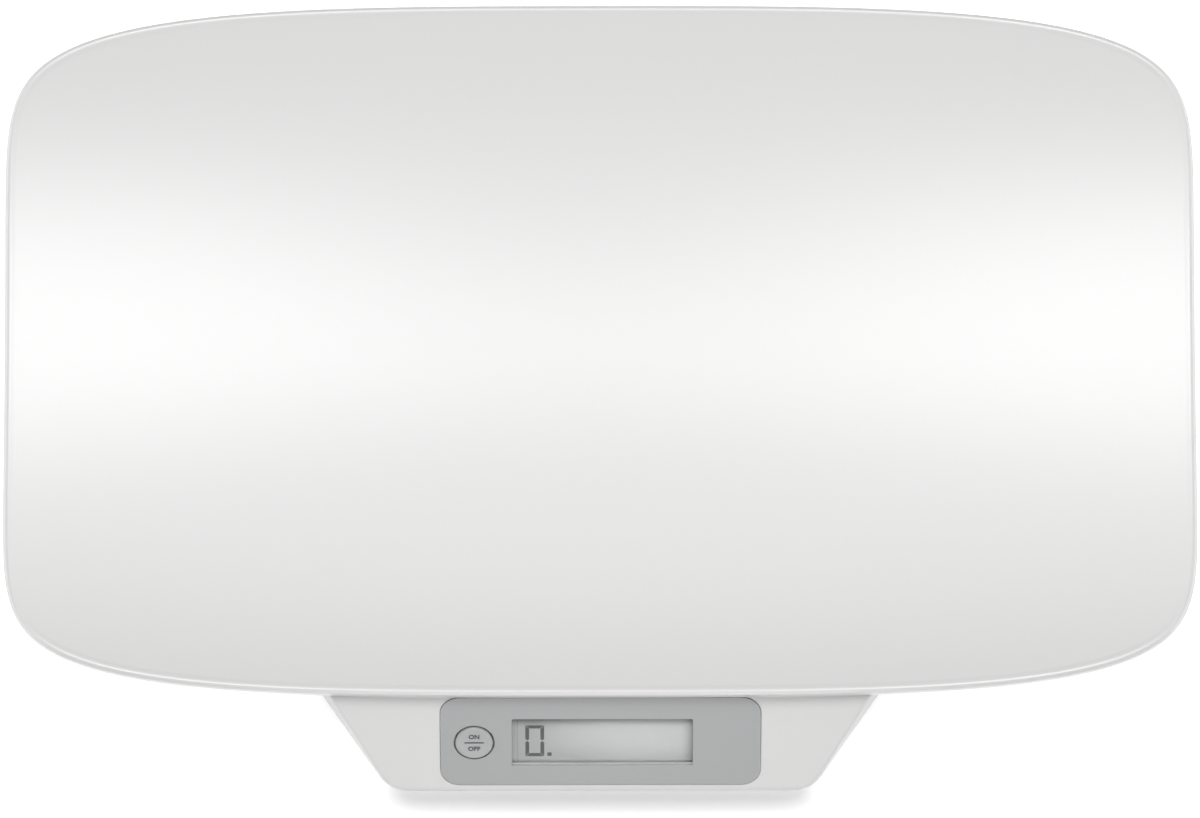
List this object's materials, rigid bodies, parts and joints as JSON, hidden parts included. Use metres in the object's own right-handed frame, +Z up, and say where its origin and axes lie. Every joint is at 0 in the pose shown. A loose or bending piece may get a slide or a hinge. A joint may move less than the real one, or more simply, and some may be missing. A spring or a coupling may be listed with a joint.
{
  "type": "baby weighing scale",
  "caption": "Digital baby scale: a long curved white tray on a low base, with a sloping front console that carries a display and a round button.",
  "frame": {"origin": "middle of the bounding box's footprint, on the surface the scale stands on", "axes": "+X along the tray, +Z up, and -Y toward the console and the person who reads it"},
  "size_m": [0.5502, 0.3594, 0.0659],
  "materials": {
    "tray_white": "satin moulded white",
    "base_white": "satin moulded white",
    "panel_silver": "satin silver grey print",
    "window_clear": "clear",
    "display_glass": "grey reflective display",
    "button_silver": "satin silver grey",
    "frame_white": "moulded",
    "switch_black": "moulded",
    "board_green": "solder mask",
    "resin_black": "gloss resin",
    "strip_rubber": "matte",
    "pad_rubber": "matte",
    "cell_steel": "brushed",
    "screw_steel": "zinc plated",
    "contact_nickel": "nickel plated",
    "can_metal": "bright",
    "gauge_film": "film",
    "lead_sleeve": "matte sleeve",
    "battery_jacket": "plain gloss jacket"
  },
  "bodies": {
    "scale": {"battery_1": "battery_jacket", "battery_2": "battery_jacket", "battery_leads": "lead_sleeve", "board_screws": "screw_steel", "capacitors": "can_metal", "cell_leads": "lead_sleeve", "console_overlay": "panel_silver", "controller_chip": "resin_black", "crystal": "can_metal", "display_lens": "window_clear", "housing_screws": "screw_steel", "lcd_connectors": "strip_rubber", "lcd_frame": "frame_white", "lcd_glass": "display_glass", "lead_header": "frame_white", "link_contact": "contact_nickel", "load_cell_back_left": "cell_steel", "load_cell_back_right": "cell_steel", "load_cell_front_left": "cell_steel", "load_cell_front_right": "cell_steel", "lower_housing": "base_white", "main_board": "board_green", "spring_contact": "contact_nickel", "strain_gauges": "gauge_film", "switch_body": "switch_black", "tab_contact": "contact_nickel", "tray": "tray_white", "tray_screws": "screw_steel", "unit_board": "board_green", "unit_lead": "lead_sleeve", "unit_switch_body": "switch_black", "upper_housing": "base_white"},
    "button": {"button_cap": "button_silver", "switch_plunger": "switch_black"},
    "battery_cover": {"battery_door": "base_white"},
    "unit_slider": {"unit_switch_knob": "switch_black"},
    "foot_front_left": {"foot_cup_front_left": "base_white", "foot_pad_front_left": "pad_rubber"},
    "foot_front_right": {"foot_cup_front_right": "base_white", "foot_pad_front_right": "pad_rubber"},
    "foot_back_left": {"foot_cup_back_left": "base_white", "foot_pad_back_left": "pad_rubber"},
    "foot_back_right": {"foot_cup_back_right": "base_white", "foot_pad_back_right": "pad_rubber"}
  },
  "joints": [
    {"name": "button_press", "type": "slide", "parent": "scale", "child": "button", "axis": [0, 0.682, -0.7314], "range_m": [0, 0.0005], "stiffness_N_per_m": 4000, "springref_m": -0.0003},
    {"name": "door_swing", "type": "hinge", "parent": "scale", "child": "battery_cover", "pos_m": [0, 0.06365, 0.009], "axis": [1, 0, 0], "range_deg": [0, 90]},
    {"name": "unit_slide", "type": "slide", "parent": "scale", "child": "unit_slider", "axis": [1, 0, 0], "range_m": [0, 0.003]},
    {"name": "foot_front_left_give", "type": "slide", "parent": "scale", "child": "foot_front_left", "axis": [0, 0, 1], "range_m": [0, 0.0003], "stiffness_N_per_m": 150000},
    {"name": "foot_front_right_give", "type": "slide", "parent": "scale", "child": "foot_front_right", "axis": [0, 0, 1], "range_m": [0, 0.0003], "stiffness_N_per_m": 150000},
    {"name": "foot_back_left_give", "type": "slide", "parent": "scale", "child": "foot_back_left", "axis": [0, 0, 1], "range_m": [0, 0.0003], "stiffness_N_per_m": 150000},
    {"name": "foot_back_right_give", "type": "slide", "parent": "scale", "child": "foot_back_right", "axis": [0, 0, 1], "range_m": [0, 0.0003], "stiffness_N_per_m": 150000}
  ]
}
